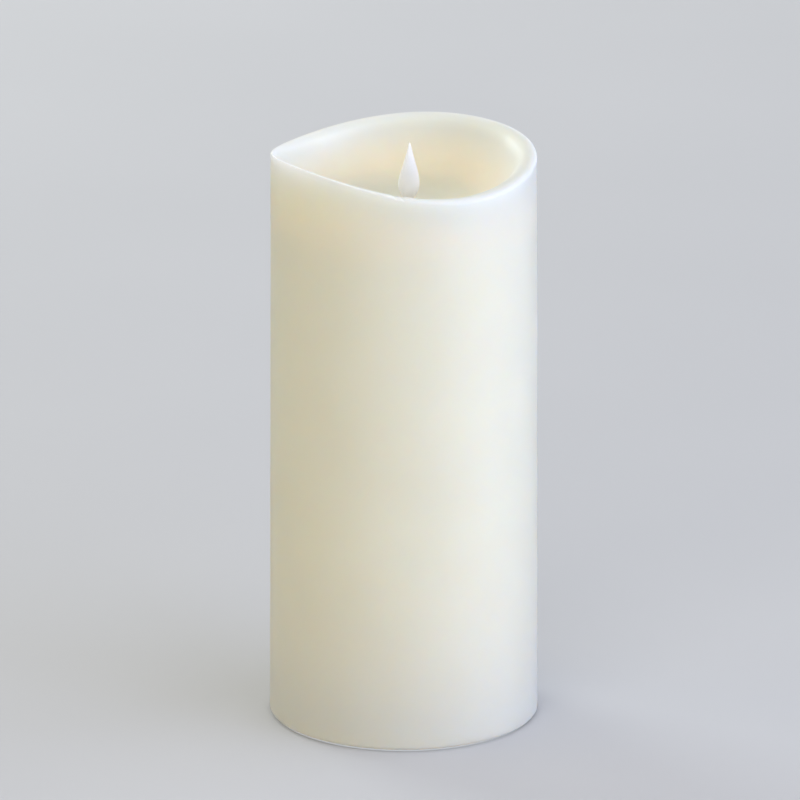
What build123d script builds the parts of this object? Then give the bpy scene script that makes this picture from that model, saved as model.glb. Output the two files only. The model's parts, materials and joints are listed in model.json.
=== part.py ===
from build123d import *
import math
import os

# A flameless candle: a real wax pillar over a plastic liner, with a moving flame
# blade that hangs on a fine wire over an electromagnet, lit by a lamp below the
# rim, and a battery and switch module in its base.
#
# Frame: origin at the centre of the underside, on the plane it stands on.
# +Z is up, the front is -Y (the side the lamp shines from), +X is to the right.
# All sizes are in millimetres.

# Pieces that rest on each other stay this far apart
SEAT = 0.02

# Wax pillar
WAX_BOTTOM_RADIUS = 41.5
WAX_TOP_RADIUS = 40.5
WAX_BOTTOM = 0.5
WAX_EDGE = 0.8
RIM_HEIGHT = 178.0
# The melted rim rises and dips: waves per turn, height, direction of a crest.
RIM_WAVES = ((1, 1.57, 107), (2, 2.43, 42), (3, 0.74, -20))
RIM_ROOM = 12.0
LIP_ROUND = 0.3

# Melted bowl
BOWL_SHIFT = -1.8
BOWL_FLOOR_SHIFT = -4.3
BOWL_FLOOR = 161.5
BOWL_FLOOR_RADIUS = 30.5
BOWL_RIM_RADIUS = 37.6
BOWL_CORNER = 10.0

# Wax cavity and the plastic liner in it
CAVITY_RADIUS = 35.5
CAVITY_TOP = 156.5
LINER_RADIUS = 35.4
LINER_WALL = 1.8
LINER_TOP = 156.4
LINER_LIFT = 0.05
DECK = 3.0
BOSS_RADIUS = 3.2
BOSS_TOP = 20.0
BOSS_BORE_TOP = 14.0

# Flame blade
FLAME_X = 1.5
FLAME_TIP = 181.5
# Half width and half thickness at each distance below the tip.
FLAME_OUTLINE = ((0.15, 0.15, 0.15), (2.8, 0.85, 0.6), (6.0, 1.7, 1.0), (9.2, 2.7, 1.35))
FLAME_OUTLINE += ((12.4, 3.25, 1.55), (15.6, 2.95, 1.45), (17.3, 2.2, 1.2), (19.5, 1.6, 0.9))
FLAME_TWIST = 1.4
STEM_WIDTH = 3.2
STEM_THICK = 1.8
EYE_RADIUS = 2.4
EYE_THICK = 2.4
EYE_BORE = 0.5
EYE_FLARE = 0.4

# Pivot wire: straight in its seats, with a shallow dip between them
WIRE_Z = 146.5
WIRE_RADIUS = 0.2
WIRE_DIP = 0.6
WIRE_HALF_DIP = 9.0
WIRE_HALF = 11.0
SEAT_GAP = 0.05

# Magnet and coil
MAGNET_RADIUS = 3.0
MAGNET_LOW = 130.1
MAGNET_HIGH = 132.6
CUP_RADIUS = 3.7
CUP_HIGH = 134.2
COIL_LOW = 114.7
COIL_HIGH = 126.0
COIL_CORE = 3.0
COIL_OUTER = 7.6
COIL_FLANGE = 9.0
COIL_CHEEK = 1.0
COIL_TUBE = 0.9
COIL_PIN_X = 5.5
COIL_PIN_RADIUS = 0.3

# Throat through the wax floor, the liner deck and the carrier
THROAT_RADIUS = 6.0
THROAT_BACK = 4.5
THROAT_FRONT = -13.0

# Carrier that holds the wire, the lamp, the coil and the board
CARRIER_BORE = 9.5
CARRIER_RADIUS = 11.2
CARRIER_TOP = 153.3
CARRIER_FLANGE = 1.8
CARRIER_TOP_RADIUS = 22.0
CARRIER_LOW = 114.7
CARRIER_FOOT = 2.0
CARRIER_POST = 3.0
CLAMP_BOSS = 2.6
BOARD_RADIUS = 17.0
BOARD_THICK = 1.6

# Lamp
LAMP_TIP = (-8.0, 157.0)
LAMP_TILT = 28.0
LAMP_RADIUS = 2.5
LAMP_LENGTH = 8.6
LAMP_RIM = 2.9
LAMP_RIM_THICK = 1.0
LAMP_HOUSE = 4.0
LEG_X = 1.27
LEG_RADIUS = 0.25
LEG_FOOT_Y = -13.2
LEG_TAIL = 0.8

# Base plate, battery box and door
PLATE_RADIUS = 35.3
PLATE_LOW = 0.8
PLATE_HIGH = 3.0
FOOT_INNER = 32.8
BOX_HALF_X = 27.75
BOX_HALF_Y = 15.0
BOX_WALL = 1.2
BOX_INSIDE_HIGH = 18.2
BOX_HIGH = 19.6
BOX_TRIM_RADIUS = 33.3
HINGE_RAIL_Y = -19.0
HINGE_RAIL_HIGH = 5.0
TAB_RAIL_Y = 19.4
TAB_RAIL_HIGH = 4.4
TAB_RAIL_HALF = 7.2
DOOR_GAP = 0.25
DOOR_LOW = 0.9
DOOR_HIGH = 2.7
HINGE_Y = -16.1
HINGE_Z = 2.3
HINGE_RADIUS = 1.4
HINGE_HALF = 25.5
HINGE_PIN = 0.9
HINGE_PIN_HALF = 27.2
HINGE_CORNER = 1.2
HINGE_ROOM = 0.1
PIN_ROOM = 0.05
TAB_HALF = 4.0
TAB_REACH = 1.6

# Cells: two AA cells side by side, laid opposite ways round
CELL_RADIUS = 7.2
CELL_BODY = 49.2
CELL_NUB = 1.3
CELL_NUB_RADIUS = 2.75
CELL_Y = 7.35
CELL_Z = 10.4
CONTACT = 0.4
CONTACT_HALF = 5.5
CONTACT_LOW = 5.0
CONTACT_HIGH = 16.5
TAG_HALF = 1.5
TAG_TOP = 22.5
SPRING_WIRE = 0.35
SPRING_TURNS = 3.0
SPRING_WIDE = 4.6
SPRING_NARROW = 2.9

# Slide switch
SWITCH_Y = 24.0
SWITCH_TRAVEL = 2.0
SWITCH_HIGH = 8.5
SWITCH_HALF_X = 6.5
SWITCH_HALF_Y = 3.2
SWITCH_ROOM_HIGH = 5.8
SLIDER_FOOT_X = 2.9
SLIDER_FOOT_Y = 2.1
KNOB_X = 1.9
KNOB_Y = 1.4
MARK_Y = 19.8
MARK_X = 4.2
SWITCH_BOARD_X = 13.8
SWITCH_BOARD_Y = 4.3
SWITCH_BOARD_HIGH = 9.7
SWITCH_POST_X = 11.2
SWITCH_POST_RADIUS = 2.2

# Fasteners
SCREW_CIRCLE = 31.0
SCREW_ANGLES = (48, 132, 270)
SCREW_RADIUS = 1.25
SCREW_HEAD = (2.3, 1.4)
SCREW_WELL = 2.5
SCREW_WELL_TOP = 2.2
SCREW_TIP = 13.0
SCREW_ROOM = 0.05
DECK_SCREW_CIRCLE = 18.0
DECK_SCREW_ANGLES = (35, 145, 215, 325)
SMALL_SCREW = 0.9
SMALL_BORE = SMALL_SCREW + SCREW_ROOM
SMALL_HEAD = (1.8, 1.2)
DRIVE_SLOT = 0.25
BOARD_SCREW_X = 13.8
CLAMP_SCREW_Y = 13.6
CLAMP_SCREW_HEIGHTS = (122.0, 144.0)
CLAMP_SCREW_LENGTH = 8.6

# Leads
LEAD_RADIUS = 0.6


def cyl(radius, low, high, x=0.0, y=0.0):
    """A vertical cylinder between two heights."""
    return Pos(x, y, (low + high) / 2) * Cylinder(radius, high - low)


def rod(radius, start, end):
    """A round bar between two points."""
    direction = Vector(*end) - Vector(*start)
    plane = Plane(origin=start, z_dir=direction)
    return extrude(plane * Circle(radius), direction.length)


def block(x_low, x_high, y_low, y_high, z_low, z_high):
    """A box between two corners."""
    centre = ((x_low + x_high) / 2, (y_low + y_high) / 2, (z_low + z_high) / 2)
    return Pos(*centre) * Box(x_high - x_low, y_high - y_low, z_high - z_low)


def ring(inner, outer, low, high, x=0.0, y=0.0):
    """A flat ring between two heights."""
    return cyl(outer, low, high, x, y) - cyl(inner, low - 1, high + 1, x, y)


def on_circle(radius, degrees):
    """A point on a circle about the pillar's axis."""
    angle = math.radians(degrees)
    return radius * math.cos(angle), radius * math.sin(angle)


def cone(low_radius, high_radius, low, high):
    """A vertical cone between two heights."""
    return Pos(0, 0, (low + high) / 2) * Cone(low_radius, high_radius, high - low)


def screw(radius, low, high, head):
    """A pan-head screw, driven upwards, with its head seated at low."""
    head_radius, head_height = head
    under = low - head_height
    shank = cyl(radius, low, high - radius)
    point = cone(radius, radius * 0.3, high - radius, high)
    pan = cyl(head_radius, under, low)
    pan = fillet(pan.faces().sort_by(Axis.Z)[0].edges(), head_height * 0.5)
    slot_top = low - head_height * 0.55
    slot = block(-head_radius, head_radius, -DRIVE_SLOT, DRIVE_SLOT, under - 1, slot_top)
    cross = slot + Rot(0, 0, 90) * slot
    cross = cross & cyl(head_radius * 0.6, under - 1, low)
    return pan - cross + shank + point


def lead(points, radius, start_direction, end_direction):
    """A round wire along a smooth line through points."""
    tangents = [Vector(*start_direction), Vector(*end_direction)]
    path = Spline([Vector(*p) for p in points], tangents=tangents)
    section = Plane(origin=path @ 0, z_dir=path % 0) * Circle(radius)
    return sweep(section, path=path)


def throat(low, high):
    """The opening that the flame and the lamp share, longer towards the front."""
    radius = THROAT_RADIUS
    back = THROAT_BACK - THROAT_RADIUS
    front = THROAT_FRONT + THROAT_RADIUS
    shape = cyl(radius, low, high, FLAME_X, back) + cyl(radius, low, high, FLAME_X, front)
    return shape + block(FLAME_X - radius, FLAME_X + radius, front, back, low, high)


# The wax pillar


def rim_height(x, y):
    """Height of the melted rim's surface over a point."""
    share = math.hypot(x, y) / WAX_TOP_RADIUS
    angle = math.atan2(y, x)
    height = RIM_HEIGHT
    for waves, size, crest in RIM_WAVES:
        height += size * share**waves * math.cos(waves * (angle - math.radians(crest)))
    return height


def above_rim():
    """The space over the wavy rim, to cut the pillar with."""
    steps = 12
    reach = WAX_TOP_RADIUS + 4
    places = [reach * (2 * i / steps - 1) for i in range(steps + 1)]
    grid = [[Vector(x, y, rim_height(x, y)) for x in places] for y in places]
    sheet = Face.make_surface_from_array_of_points(grid)
    return extrude(sheet, RIM_ROOM, dir=(0, 0, 1))


def bowl():
    """The melted bowl: off centre and leaning left as it deepens, so the left lip is thin."""
    top = RIM_HEIGHT + RIM_ROOM
    share = (top - BOWL_FLOOR) / (RIM_HEIGHT - BOWL_FLOOR)
    top_radius = BOWL_FLOOR_RADIUS + (BOWL_RIM_RADIUS - BOWL_FLOOR_RADIUS) * share
    top_shift = BOWL_FLOOR_SHIFT + (BOWL_SHIFT - BOWL_FLOOR_SHIFT) * share
    floor = Pos(BOWL_FLOOR_SHIFT, 0, BOWL_FLOOR) * Circle(BOWL_FLOOR_RADIUS)
    mouth = Pos(top_shift, 0, top) * Circle(top_radius)
    hollow = loft([floor, mouth])
    return fillet(hollow.faces().sort_by(Axis.Z)[0].edges(), BOWL_CORNER)


def wax_shell():
    """The hollow wax pillar with its wavy rim, melted bowl and throat."""
    top = RIM_HEIGHT + RIM_ROOM / 2
    slope = (WAX_TOP_RADIUS - WAX_BOTTOM_RADIUS) / (RIM_HEIGHT - WAX_BOTTOM)
    top_radius = WAX_TOP_RADIUS + slope * RIM_ROOM / 2
    shell = cone(WAX_BOTTOM_RADIUS, top_radius, WAX_BOTTOM, top)
    shell = fillet(shell.faces().sort_by(Axis.Z)[0].edges(), WAX_EDGE)
    shell = shell - above_rim() - bowl()
    shell = shell - cyl(CAVITY_RADIUS, 0, CAVITY_TOP) - throat(CAVITY_TOP - 1, BOWL_FLOOR + 1)
    lips = [e for e in shell.edges() if e.center().Z > RIM_HEIGHT - 4 and e.length > 100]
    return fillet(lips, LIP_ROUND)


# The plastic liner


def liner():
    """The tube inside the wax, closed on top by a deck, with screw bosses below."""
    inner = LINER_RADIUS - LINER_WALL
    low = PLATE_HIGH + LINER_LIFT
    deck_low = LINER_TOP - DECK
    shell = ring(inner, LINER_RADIUS, low, LINER_TOP)
    deck = cyl(LINER_RADIUS, deck_low, LINER_TOP) - throat(deck_low - 1, LINER_TOP + 1)
    shell = shell + deck
    for angle in SCREW_ANGLES:
        x, y = on_circle(SCREW_CIRCLE, angle)
        boss = cyl(BOSS_RADIUS, low, BOSS_TOP, x, y) & cyl(LINER_RADIUS, low, BOSS_TOP)
        shell = shell + boss - cyl(SCREW_RADIUS + SCREW_ROOM, low - 1, BOSS_BORE_TOP, x, y)
    for angle in DECK_SCREW_ANGLES:
        x, y = on_circle(DECK_SCREW_CIRCLE, angle)
        shell = shell - cyl(SMALL_BORE, deck_low - 1, LINER_TOP - 0.4, x + FLAME_X, y)
    return shell


# The flame and what it hangs on


def flame_blade():
    """The lit part of the flame: a twisted drop that thins to a point."""
    sections = []
    for below, half_width, half_thick in FLAME_OUTLINE:
        place = Pos(FLAME_X, 0, FLAME_TIP - below) * Rot(0, 0, FLAME_TWIST * (12 - below))
        sections.append(place * Ellipse(half_width, half_thick))
    return loft(sections)


def eye_bore():
    """The bell-mouthed hole that the wire passes through."""
    centre = WIRE_Z - WIRE_DIP + WIRE_RADIUS + 0.02 - EYE_BORE
    half = EYE_THICK / 2 + 0.1
    mouth = EYE_BORE + EYE_FLARE
    corners = [(0, -half), (mouth, -half), (EYE_BORE, 0), (mouth, half), (0, half)]
    profile = make_face(Polyline(*corners, close=True))
    return Pos(FLAME_X, 0, centre) * revolve(profile, Axis.Y)


def flame():
    """Blade, stem, pivot eye and magnet cup, moulded as one piece."""
    neck = FLAME_TIP - FLAME_OUTLINE[-1][0] + 0.5
    half = STEM_WIDTH / 2
    stem = block(FLAME_X - half, FLAME_X + half, -STEM_THICK / 2, STEM_THICK / 2, CUP_HIGH - 1, neck)
    stem = fillet(stem.edges().filter_by(Axis.Z), 0.6)
    eye_z = WIRE_Z - WIRE_DIP
    eye = rod(EYE_RADIUS, (FLAME_X, -EYE_THICK / 2, eye_z), (FLAME_X, EYE_THICK / 2, eye_z))
    cup = cyl(CUP_RADIUS, MAGNET_LOW, CUP_HIGH, FLAME_X)
    cup = fillet(cup.faces().sort_by(Axis.Z)[-1].edges(), 0.8)
    pocket = cyl(MAGNET_RADIUS + 0.05, MAGNET_LOW - 1, MAGNET_HIGH + 0.05, FLAME_X)
    return flame_blade() + stem + eye + cup - pocket - eye_bore()


def flame_magnet():
    """The disc magnet at the flame's foot."""
    return chamfer(cyl(MAGNET_RADIUS, MAGNET_LOW, MAGNET_HIGH, FLAME_X).edges(), 0.2)


def pivot_wire():
    """The fine wire under the flame's eye, dipped in the middle."""
    seat = Vector(FLAME_X, -WIRE_HALF, WIRE_Z)
    bend = Vector(FLAME_X, -WIRE_HALF_DIP, WIRE_Z)
    low = Vector(FLAME_X, 0, WIRE_Z - WIRE_DIP)
    far_bend = Vector(FLAME_X, WIRE_HALF_DIP, WIRE_Z)
    far_seat = Vector(FLAME_X, WIRE_HALF, WIRE_Z)
    along = Vector(0, 1, 0)
    dip = Spline([bend, low, far_bend], tangents=[along, along])
    path = Wire([Edge.make_line(seat, bend), dip.edge(), Edge.make_line(far_bend, far_seat)])
    return sweep(Plane(origin=seat, z_dir=(0, 1, 0)) * Circle(WIRE_RADIUS), path=path)


def coil_bobbin():
    """The spool that the coil is wound on."""
    spool = cyl(COIL_CORE + COIL_TUBE, COIL_LOW, COIL_HIGH, FLAME_X)
    spool = spool + cyl(COIL_FLANGE, COIL_LOW, COIL_LOW + COIL_CHEEK, FLAME_X)
    spool = spool + cyl(COIL_FLANGE, COIL_HIGH - COIL_CHEEK, COIL_HIGH, FLAME_X)
    return spool - cyl(COIL_CORE, COIL_LOW - 1, COIL_HIGH + 1, FLAME_X)


def coil_winding():
    """The copper winding, as one solid ring."""
    gap = 0.05
    low = COIL_LOW + COIL_CHEEK + gap
    high = COIL_HIGH - COIL_CHEEK - gap
    return ring(COIL_CORE + COIL_TUBE + gap, COIL_OUTER, low, high, FLAME_X)


# The lamp


def lamp_plane():
    """The lamp's own frame: origin at the back of its rim, aimed at the flame."""
    tilt = math.radians(LAMP_TILT)
    y = LAMP_TIP[0] - LAMP_LENGTH * math.sin(tilt)
    z = LAMP_TIP[1] - LAMP_LENGTH * math.cos(tilt)
    return Plane(origin=(FLAME_X, y, z), x_dir=(1, 0, 0), z_dir=(0, math.sin(tilt), math.cos(tilt)))


def along_lamp(radius, low, high):
    """A cylinder on the lamp's axis."""
    return lamp_plane() * cyl(radius, low, high)


def lamp():
    """The lamp's clear body: a rim, a barrel and a dome."""
    shape = cyl(LAMP_RIM, 0, LAMP_RIM_THICK) + cyl(LAMP_RADIUS, 0, LAMP_LENGTH - LAMP_RADIUS)
    dome = Pos(0, 0, LAMP_LENGTH - LAMP_RADIUS) * Sphere(LAMP_RADIUS)
    return lamp_plane() * (shape + dome)


def lamp_leads():
    """The lamp's two legs, bent down to the board."""
    plane = lamp_plane()
    legs = []
    for side in (-LEG_X, LEG_X):
        start = plane.from_local_coords((side, 0, -SEAT))
        bend = plane.from_local_coords((side, 0, -2.4))
        x = FLAME_X + side
        foot = (x, LEG_FOOT_Y, CARRIER_LOW - BOARD_THICK - LEG_TAIL)
        points = [tuple(start), tuple(bend), (x, -14.0, 138.0), foot]
        legs.append(lead(points, LEG_RADIUS, tuple(-plane.z_dir), (0, 0, -1)))
    return legs


# The carrier


def carrier():
    """Both halves of the carrier as one, before it is split at the wire."""
    x = FLAME_X
    body = cyl(CARRIER_RADIUS, CARRIER_LOW, CARRIER_TOP, x)
    body = body + cyl(BOARD_RADIUS, CARRIER_LOW, CARRIER_LOW + CARRIER_FOOT, x)
    body = body + cyl(CARRIER_TOP_RADIUS, CARRIER_TOP - CARRIER_FLANGE, CARRIER_TOP, x)
    for side in (-1, 1):
        body = body + cyl(CARRIER_POST, CARRIER_LOW, CARRIER_LOW + 6, x + side * BOARD_SCREW_X)
    back = CLAMP_SCREW_Y + CLAMP_BOSS
    for z in CLAMP_SCREW_HEIGHTS:
        body = body + block(x - 5, x + 5, CARRIER_BORE, back, z - CLAMP_BOSS, z + CLAMP_BOSS)
    house = LAMP_HOUSE
    body = body + lamp_plane() * block(-house, house, -house, house, -0.8, 5.0)
    body = body & cyl(CARRIER_TOP_RADIUS + 1, CARRIER_LOW, CARRIER_TOP, x)
    body = body - cyl(CARRIER_BORE, CARRIER_LOW - 1, CARRIER_TOP - CARRIER_FLANGE, x)
    return body - throat(CARRIER_TOP - CARRIER_FLANGE - 1, CARRIER_TOP + 1)


def carrier_holes():
    """Everything that is drilled or moulded out of the carrier."""
    x = FLAME_X
    seat = WIRE_RADIUS + SEAT_GAP
    wire_end = WIRE_HALF + SEAT_GAP
    holes = [
        along_lamp(LAMP_RADIUS + 0.05, -1, 10),
        along_lamp(LAMP_RIM + 0.05, -0.85, LAMP_RIM_THICK + 0.05),
        rod(seat, (x, -wire_end, WIRE_Z), (x, wire_end, WIRE_Z)),
        block(x - 2.4, x + 2.4, -20, -12, CARRIER_LOW - 1, CARRIER_LOW + 3),
    ]
    for side in (-1, 1):
        holes.append(cyl(SMALL_BORE, CARRIER_LOW - 1, CARRIER_LOW + 5.4, x + side * BOARD_SCREW_X))
    for angle in DECK_SCREW_ANGLES:
        place = on_circle(DECK_SCREW_CIRCLE, angle)
        holes.append(cyl(SMALL_BORE, CARRIER_TOP - 3, CARRIER_TOP + 1, place[0] + x, place[1]))
    for z in CLAMP_SCREW_HEIGHTS:
        holes.append(rod(SMALL_BORE, (x - 6, CLAMP_SCREW_Y, z), (x + 4.2, CLAMP_SCREW_Y, z)))
    return holes


def carrier_half(side):
    """One half of the carrier: side is -1 for the left and 1 for the right."""
    reach = side * 40
    half = carrier() & block(min(FLAME_X, reach), max(FLAME_X, reach), -40, 40, 100, 170)
    for hole in carrier_holes():
        half = half - hole
    return half


def clamp_screws():
    """The screws that draw the two halves together."""
    base = screw(SMALL_SCREW, 0, CLAMP_SCREW_LENGTH, SMALL_HEAD)
    places = [Pos(FLAME_X - 5.05, CLAMP_SCREW_Y, z) * Rot(0, 90, 0) for z in CLAMP_SCREW_HEIGHTS]
    return [place * base for place in places]


def deck_screws():
    """The screws that hang the carrier from the liner's deck."""
    base = screw(SMALL_SCREW, CARRIER_TOP - CARRIER_FLANGE - SEAT, LINER_TOP - 0.6, SMALL_HEAD)
    places = [on_circle(DECK_SCREW_CIRCLE, angle) for angle in DECK_SCREW_ANGLES]
    return [Pos(x + FLAME_X, y, 0) * base for x, y in places]


# The control board


def control_board():
    """The round board under the carrier."""
    low, high = board_under(), CARRIER_LOW - SEAT
    board = cyl(BOARD_RADIUS, low, high, FLAME_X)
    for side in (-1, 1):
        leg_hole = LEG_RADIUS + SCREW_ROOM
        pin_hole = COIL_PIN_RADIUS + SCREW_ROOM
        board = board - cyl(SMALL_BORE, low - 1, high + 1, FLAME_X + side * BOARD_SCREW_X)
        board = board - cyl(leg_hole, low - 1, high + 1, FLAME_X + side * LEG_X, LEG_FOOT_Y)
        board = board - cyl(pin_hole, low - 1, high + 1, FLAME_X + side * COIL_PIN_X)
    return board


def board_under():
    """Height of the board's underside."""
    return CARRIER_LOW - SEAT - BOARD_THICK


def board_screws():
    """The screws that hold the board to the carrier."""
    base = screw(SMALL_SCREW, board_under() - SEAT, CARRIER_LOW + 5, SMALL_HEAD)
    return [Pos(FLAME_X + side * BOARD_SCREW_X, 0, 0) * base for side in (-1, 1)]


def coil_pins():
    """The coil's two pins, through the board."""
    low = board_under() - LEG_TAIL
    places = [FLAME_X + side * COIL_PIN_X for side in (-1, 1)]
    return [cyl(COIL_PIN_RADIUS, low, COIL_LOW - SEAT, x) for x in places]


def controller_chip():
    """The controller: a small moulded package with four legs on each side."""
    high = board_under() - SEAT
    case = block(-2.5, 2.5, -2.0, 2.0, high - 1.6, high - 0.15)
    body = chamfer(case.edges().group_by(Axis.Z)[0], 0.3)
    for i in range(4):
        x = -1.9 + 1.27 * i
        body = body + block(x - 0.2, x + 0.2, -3.0, 3.0, high - 0.35, high)
    return Pos(FLAME_X, 7.0, 0) * body


def timer_crystal():
    """The timer's crystal can, lying on the board."""
    y, z = -8.0, board_under() - 1.55
    can = rod(1.5, (FLAME_X - 4, y, z), (FLAME_X + 4, y, z))
    return fillet(can.edges().filter_by(GeomType.CIRCLE), 0.4)


def capacitor():
    """The reservoir capacitor, hanging below the board."""
    high = board_under() - 0.3
    can = cyl(2.5, high - 8, high)
    can = fillet(can.edges().filter_by(GeomType.CIRCLE), 0.4)
    groove = ring(2.3, 3.0, high - 1.6, high - 1.0)
    return Pos(FLAME_X + 9, -6, 0) * (can - groove)


def driver_transistor():
    """The coil's driver: a D-shaped package standing on three legs."""
    high = board_under() - SEAT
    body = cyl(2.3, high - 6.5, high - 2.0) - block(-3, 3, 1.3, 3, high - 7, high)
    for x in (-LEG_X, 0, LEG_X):
        body = body + cyl(0.22, high - 2.1, high, x, 0)
    return Pos(FLAME_X - 10, 5, 0) * body


def chip_resistors():
    """Six chip resistors on the board's underside."""
    high = board_under() - SEAT
    chips = []
    for row in range(2):
        for i in range(3):
            chip = block(-1.0, 1.0, -0.6, 0.6, high - 0.5, high)
            chips.append(Pos(FLAME_X - 4 + 4 * i, 0.8 - 3.0 * row, 0) * chip)
    return chips


# The base


def hinge_line(radius, half):
    """A cylinder on the battery door's hinge axis."""
    return rod(radius, (-half, HINGE_Y, HINGE_Z), (half, HINGE_Y, HINGE_Z))


def battery_box():
    """The box over the cells, with a rail over the hinge and one over the tab."""
    outer_x = BOX_HALF_X + BOX_WALL
    outer_y = BOX_HALF_Y + BOX_WALL
    box = block(-outer_x, outer_x, -outer_y, outer_y, PLATE_LOW, BOX_HIGH)
    box = box + block(-outer_x, outer_x, HINGE_RAIL_Y, -outer_y, PLATE_LOW, HINGE_RAIL_HIGH)
    rail = TAB_RAIL_HALF
    box = box + block(-rail, rail, outer_y, TAB_RAIL_Y, PLATE_LOW, TAB_RAIL_HIGH)
    return box & cyl(BOX_TRIM_RADIUS, 0, BOX_HIGH)


def switch_marks():
    """Raised marks by the switch: a bar for on, a ring for off, a clock for timer."""
    low, high = PLATE_LOW - 0.2, PLATE_LOW + 0.2
    x, y = MARK_X, MARK_Y
    bar = block(x - 0.2, x + 0.2, y - 0.9, y + 0.9, low, high)
    off = ring(0.6, 0.95, low, high, 0, y)
    clock = ring(0.75, 1.05, low, high, -x, y)
    hands = block(-x - 0.1, -x + 0.1, y, y + 0.9, low, high)
    hands = hands + block(-x, -x + 0.7, y - 0.1, y + 0.1, low, high)
    return bar + off + clock + hands


def base_plate():
    """The moulded base: foot ring, plate, battery box, hinge and switch well."""
    plate = cyl(PLATE_RADIUS, PLATE_LOW, PLATE_HIGH) + ring(FOOT_INNER, PLATE_RADIUS, 0, PLATE_HIGH)
    plate = plate + battery_box() + switch_marks()
    plate = plate - block(-BOX_HALF_X, BOX_HALF_X, -BOX_HALF_Y, BOX_HALF_Y, 0, BOX_INSIDE_HIGH)
    groove = HINGE_RADIUS + HINGE_ROOM
    half = HINGE_HALF + HINGE_ROOM
    plate = plate - hinge_line(groove, half)
    plate = plate - block(-half, half, HINGE_Y - groove, -BOX_HALF_Y + 1, 0, HINGE_Z)
    plate = plate - hinge_line(HINGE_PIN + PIN_ROOM, HINGE_PIN_HALF + PIN_ROOM)
    plate = plate - block(-6, 6, BOX_HALF_Y - 1, TAB_RAIL_Y - BOX_WALL, 0, PLATE_HIGH)
    slot_x = KNOB_X + SWITCH_TRAVEL + 0.4
    slot_y = KNOB_Y + 0.1
    plate = plate - block(-slot_x, slot_x, SWITCH_Y - slot_y, SWITCH_Y + slot_y, 0, PLATE_HIGH + 1)
    tag = TAG_HALF + 0.1
    for side in (-1, 1):
        x, y = side * SWITCH_POST_X, side * CELL_Y
        plate = plate + cyl(SWITCH_POST_RADIUS, PLATE_LOW, SWITCH_HIGH, x, SWITCH_Y)
        plate = plate - cyl(SMALL_BORE, 3.5, SWITCH_HIGH + 1, x, SWITCH_Y)
        left = -BOX_HALF_X
        plate = plate - block(left - 0.05, left + CONTACT + 0.1, y - tag, y + tag, 18, 21)
    for angle in SCREW_ANGLES:
        x, y = on_circle(SCREW_CIRCLE, angle)
        plate = plate - cyl(SCREW_RADIUS + SCREW_ROOM, 0, PLATE_HIGH + 1, x, y)
        plate = plate - cyl(SCREW_WELL, -1, SCREW_WELL_TOP, x, y)
    return plate


def base_screws():
    """The screws that hold the base to the liner."""
    base = screw(SCREW_RADIUS, SCREW_WELL_TOP - SEAT, SCREW_TIP, SCREW_HEAD)
    return [Pos(*on_circle(SCREW_CIRCLE, angle), 0) * base for angle in SCREW_ANGLES]


def battery_door():
    """The door: a panel, a hinge barrel with end pins, a thumb tab and ribs."""
    half_x = BOX_HALF_X - DOOR_GAP
    half_y = BOX_HALF_Y - DOOR_GAP
    door = block(-half_x, half_x, -half_y, half_y, DOOR_LOW, DOOR_HIGH)
    door = fillet(door.edges().filter_by(Axis.Z), 0.8)
    for side in (-1, 1):
        corner = sorted((side * HINGE_HALF, side * BOX_HALF_X))
        door = door - block(*corner, -BOX_HALF_Y, -half_y + HINGE_CORNER, 0, PLATE_HIGH)
        slot = sorted((side * (TAB_HALF + 0.5), side * (TAB_HALF + 1.3)))
        door = door - block(*slot, half_y - 6, half_y + 1, 0, PLATE_HIGH)
    door = door + block(-TAB_HALF, TAB_HALF, half_y - 1, half_y + TAB_REACH, DOOR_LOW, DOOR_HIGH)
    door = door + block(-HINGE_HALF, HINGE_HALF, HINGE_Y, -half_y + 1, DOOR_LOW, DOOR_HIGH)
    door = door + hinge_line(HINGE_RADIUS, HINGE_HALF) + hinge_line(HINGE_PIN, HINGE_PIN_HALF)
    for i in range(4):
        y = half_y - 3.6 + 1.3 * i
        door = door + block(-2.8, 2.8, y - 0.25, y + 0.25, DOOR_LOW - 0.25, DOOR_LOW + 0.2)
    return door


# The electrics in the base


def cell(side):
    """One cell: side is -1 for the front cell, whose nub points right, or 1."""
    nub_tip = BOX_HALF_X - CONTACT - 0.05
    back = nub_tip - CELL_BODY - CELL_NUB
    shoulder = nub_tip - CELL_NUB
    body = rod(CELL_RADIUS, (back, 0, 0), (shoulder, 0, 0))
    body = fillet(body.edges().filter_by(GeomType.CIRCLE), 0.7)
    nub = rod(CELL_NUB_RADIUS, (shoulder - 0.5, 0, 0), (nub_tip, 0, 0))
    body = body + fillet(nub.faces().sort_by(Axis.X)[-1].edges(), 0.5)
    turn = 0 if side < 0 else 180
    return Pos(0, side * CELL_Y, CELL_Z) * Rot(0, 0, turn) * body


def contact_plate(side):
    """A plate at the left end of the box, with a solder tag through the roof."""
    low, high = -BOX_HALF_X + SEAT, -BOX_HALF_X + CONTACT
    y = side * CELL_Y
    plate = block(low, high, y - CONTACT_HALF, y + CONTACT_HALF, CONTACT_LOW, CONTACT_HIGH)
    return plate + block(low, high, y - TAG_HALF, y + TAG_HALF, CONTACT_HIGH - 0.5, TAG_TOP)


def positive_contact():
    """The plate that the back cell's nub rests on."""
    return contact_plate(1)


def negative_contact():
    """The plate behind the front cell's spring."""
    return contact_plate(-1)


def series_link():
    """The plate at the right end that joins the two cells."""
    low, high = BOX_HALF_X - CONTACT, BOX_HALF_X - SEAT
    reach = CELL_Y + CONTACT_HALF
    plate = block(low, high, -reach, reach, CONTACT_LOW, CONTACT_HIGH)
    return fillet(plate.edges().filter_by(Axis.X), 1.5)


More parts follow.
